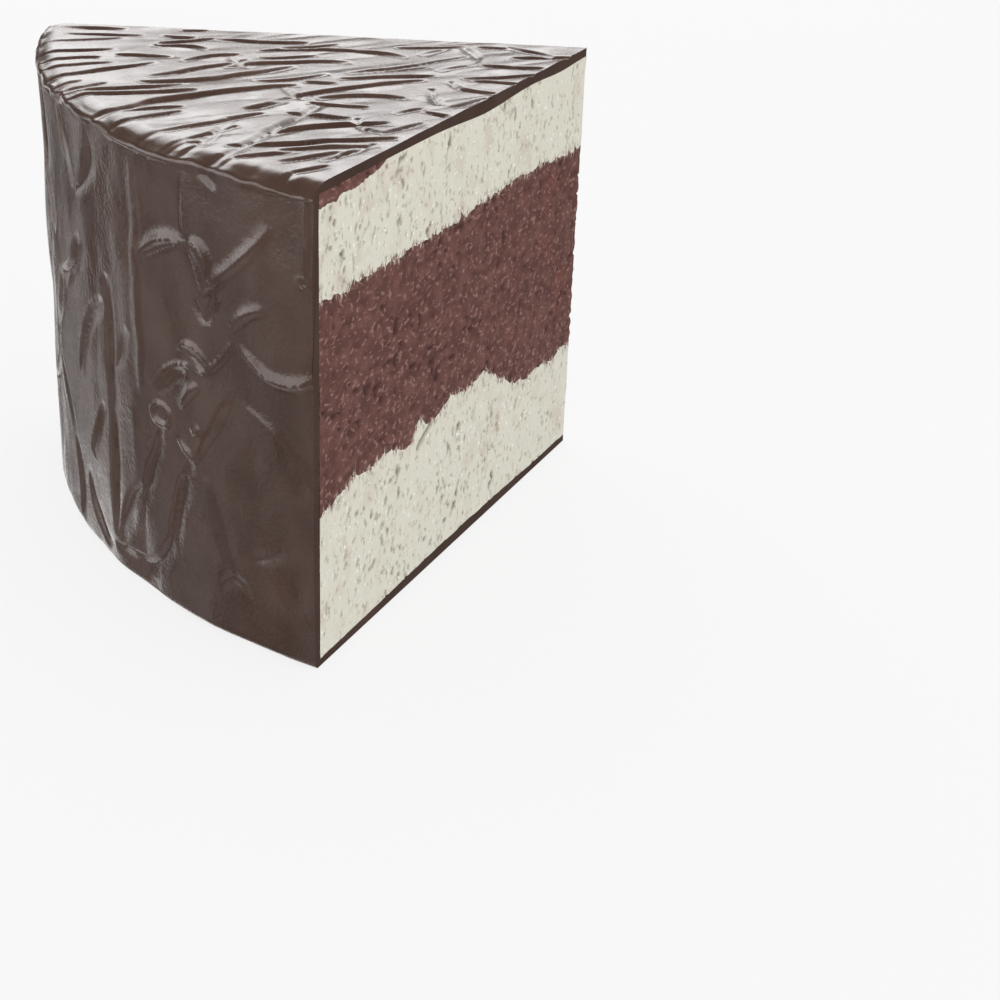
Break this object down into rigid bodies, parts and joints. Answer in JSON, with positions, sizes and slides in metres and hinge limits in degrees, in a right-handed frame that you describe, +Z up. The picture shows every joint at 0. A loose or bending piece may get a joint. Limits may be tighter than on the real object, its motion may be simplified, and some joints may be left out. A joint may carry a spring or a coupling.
{
  "type": "slice of chocolate cake",
  "caption": "Wedge of chocolate layer cake as cut: pale speckled cream above and below a dark sponge, inside a wrinkled glossy chocolate coating on the top, outer wall and base.",
  "frame": {"origin": "middle of the bounding box, on the surface that the slice stands on", "axes": "+Z up, +X from the slice's tip to the cake's outer wall, +Y towards the cut face with the thin piece of sponge under its glaze"},
  "size_m": [0.0972, 0.1094, 0.0788],
  "materials": {
    "chocolate": "glossy wrinkled dark chocolate glaze",
    "cream": "soft matt cream with small dark pits and flecks",
    "sponge": "matt open chocolate crumb"
  },
  "bodies": {
    "root": {"chocolate_coating": "chocolate", "upper_cream": "cream", "chocolate_sponge": "sponge", "lower_cream": "cream", "rim_sponge": "sponge"}
  },
  "joints": []
}
